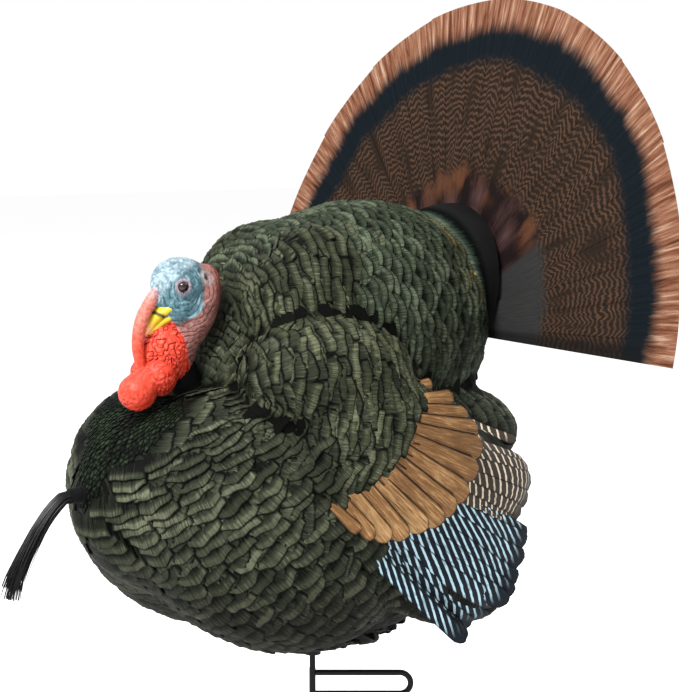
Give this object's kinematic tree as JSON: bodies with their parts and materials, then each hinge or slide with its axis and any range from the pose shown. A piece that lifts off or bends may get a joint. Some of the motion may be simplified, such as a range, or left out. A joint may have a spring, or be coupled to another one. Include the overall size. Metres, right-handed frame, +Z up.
{
  "type": "turkey decoy",
  "caption": "Life-size strutting gobbler decoy: hollow moulded body on a steel ground stake, plug-in head and beard, and a folding cloth tail fan.",
  "frame": {"origin": "on the stake's axis at ground level, level with the underside of the foot step", "axes": "+Z up along the stake, -Y the way the bird faces, +X the bird's left side"},
  "size_m": [0.7238, 0.6056, 0.9229],
  "materials": {
    "stake_steel": "satin black powder coat",
    "bushing_nylon": "natural nylon",
    "body_skin": "matte moulded skin, painted dark bronze green",
    "black_plastic": "moulded black plastic",
    "screw_steel": "zinc plated",
    "head_skin": "soft moulded skin painted red, blue and white",
    "eye_gloss": "polished dark brown",
    "bristle": "coarse black fibre",
    "rib_fibreglass": "black glass-fibre strip",
    "fan_cloth": "printed polyester cloth"
  },
  "bodies": {
    "stake": {"stake_rod": "stake_steel", "step_loop": "stake_steel", "stop_collar": "stake_steel"},
    "swivel": {"thrust_washer": "bushing_nylon"},
    "body": {"body_shell": "body_skin", "belly_plate": "black_plastic", "belly_screws": "screw_steel", "stake_tube": "black_plastic", "lower_bushing": "bushing_nylon", "top_bushing": "bushing_nylon", "neck_socket": "black_plastic", "fan_socket": "black_plastic", "beard_socket": "black_plastic", "rear_collar": "black_plastic"},
    "neck": {"neck_plug": "black_plastic"},
    "head": {"head_insert": "black_plastic", "head_skin": "head_skin", "left_eye": "eye_gloss", "right_eye": "eye_gloss"},
    "beard": {"beard_plug": "black_plastic", "beard_ferrule": "black_plastic", "beard_bristles": "bristle"},
    "fan": {"fan_bracket": "black_plastic", "hub_pin": "screw_steel", "hub_nut": "screw_steel", "rib_center": "rib_fibreglass"},
    "fan_l1": {"rib_l1": "rib_fibreglass", "gore_l1": "fan_cloth"},
    "fan_l2": {"rib_l2": "rib_fibreglass", "gore_l2": "fan_cloth"},
    "fan_l3": {"rib_l3": "rib_fibreglass", "gore_l3": "fan_cloth"},
    "fan_l4": {"rib_l4": "rib_fibreglass", "gore_l4": "fan_cloth"},
    "fan_l5": {"rib_l5": "rib_fibreglass", "gore_l5": "fan_cloth"},
    "fan_r1": {"rib_r1": "rib_fibreglass", "gore_r1": "fan_cloth"},
    "fan_r2": {"rib_r2": "rib_fibreglass", "gore_r2": "fan_cloth"},
    "fan_r3": {"rib_r3": "rib_fibreglass", "gore_r3": "fan_cloth"},
    "fan_r4": {"rib_r4": "rib_fibreglass", "gore_r4": "fan_cloth"},
    "fan_r5": {"rib_r5": "rib_fibreglass", "gore_r5": "fan_cloth"}
  },
  "joints": [
    {"name": "body_turn", "type": "hinge", "parent": "stake", "child": "swivel", "pos_m": [0, 0, 0.056], "axis": [0, 0, 1], "continuous": true},
    {"name": "body_lift", "type": "slide", "parent": "swivel", "child": "body", "axis": [0, 0, 1], "range_m": [0, 0.25]},
    {"name": "head_pull", "type": "slide", "parent": "body", "child": "neck", "axis": [0, -0.3502, 0.9367], "range_m": [0, 0.045]},
    {"name": "head_turn", "type": "hinge", "parent": "neck", "child": "head", "pos_m": [0, -0.15, 0.344], "axis": [0, -0.3502, 0.9367], "range_deg": [-20, 20]},
    {"name": "beard_pull", "type": "slide", "parent": "body", "child": "beard", "axis": [0, -1, 0], "range_m": [0, 0.022]},
    {"name": "fan_pull", "type": "slide", "parent": "body", "child": "fan", "axis": [0, 0.1994, 0.9799], "range_m": [0, 0.06]},
    {"name": "fan_fold", "type": "hinge", "parent": "fan", "child": "fan_l1", "pos_m": [0, 0.17, 0.389], "axis": [0, -0.9799, 0.1994], "range_deg": [0, 15.5]},
    {"name": "fold_l2", "type": "hinge", "parent": "fan_l1", "child": "fan_l2", "pos_m": [0, 0.17, 0.389], "axis": [0, -0.9799, 0.1994], "range_deg": [0, 15.5]},
    {"name": "fold_l3", "type": "hinge", "parent": "fan_l2", "child": "fan_l3", "pos_m": [0, 0.17, 0.389], "axis": [0, -0.9799, 0.1994], "range_deg": [0, 15.5]},
    {"name": "fold_l4", "type": "hinge", "parent": "fan_l3", "child": "fan_l4", "pos_m": [0, 0.17, 0.389], "axis": [0, -0.9799, 0.1994], "range_deg": [0, 15.5]},
    {"name": "fold_l5", "type": "hinge", "parent": "fan_l4", "child": "fan_l5", "pos_m": [0, 0.17, 0.389], "axis": [0, -0.9799, 0.1994], "range_deg": [0, 15.5]},
    {"name": "fold_r1", "type": "hinge", "parent": "fan", "child": "fan_r1", "pos_m": [0, 0.17, 0.389], "axis": [0, -0.9799, 0.1994], "range_deg": [-15.5, 0]},
    {"name": "fold_r2", "type": "hinge", "parent": "fan_r1", "child": "fan_r2", "pos_m": [0, 0.17, 0.389], "axis": [0, -0.9799, 0.1994], "range_deg": [-15.5, 0]},
    {"name": "fold_r3", "type": "hinge", "parent": "fan_r2", "child": "fan_r3", "pos_m": [0, 0.17, 0.389], "axis": [0, -0.9799, 0.1994], "range_deg": [-15.5, 0]},
    {"name": "fold_r4", "type": "hinge", "parent": "fan_r3", "child": "fan_r4", "pos_m": [0, 0.17, 0.389], "axis": [0, -0.9799, 0.1994], "range_deg": [-15.5, 0]},
    {"name": "fold_r5", "type": "hinge", "parent": "fan_r4", "child": "fan_r5", "pos_m": [0, 0.17, 0.389], "axis": [0, -0.9799, 0.1994], "range_deg": [-15.5, 0]}
  ],
  "couplings": [
    {"joint": "fold_l2", "follows": "fan_fold", "ratio": 1},
    {"joint": "fold_l3", "follows": "fan_fold", "ratio": 1},
    {"joint": "fold_l4", "follows": "fan_fold", "ratio": 1},
    {"joint": "fold_l5", "follows": "fan_fold", "ratio": 1},
    {"joint": "fold_r1", "follows": "fan_fold", "ratio": -1},
    {"joint": "fold_r2", "follows": "fan_fold", "ratio": -1},
    {"joint": "fold_r3", "follows": "fan_fold", "ratio": -1},
    {"joint": "fold_r4", "follows": "fan_fold", "ratio": -1},
    {"joint": "fold_r5", "follows": "fan_fold", "ratio": -1}
  ]
}
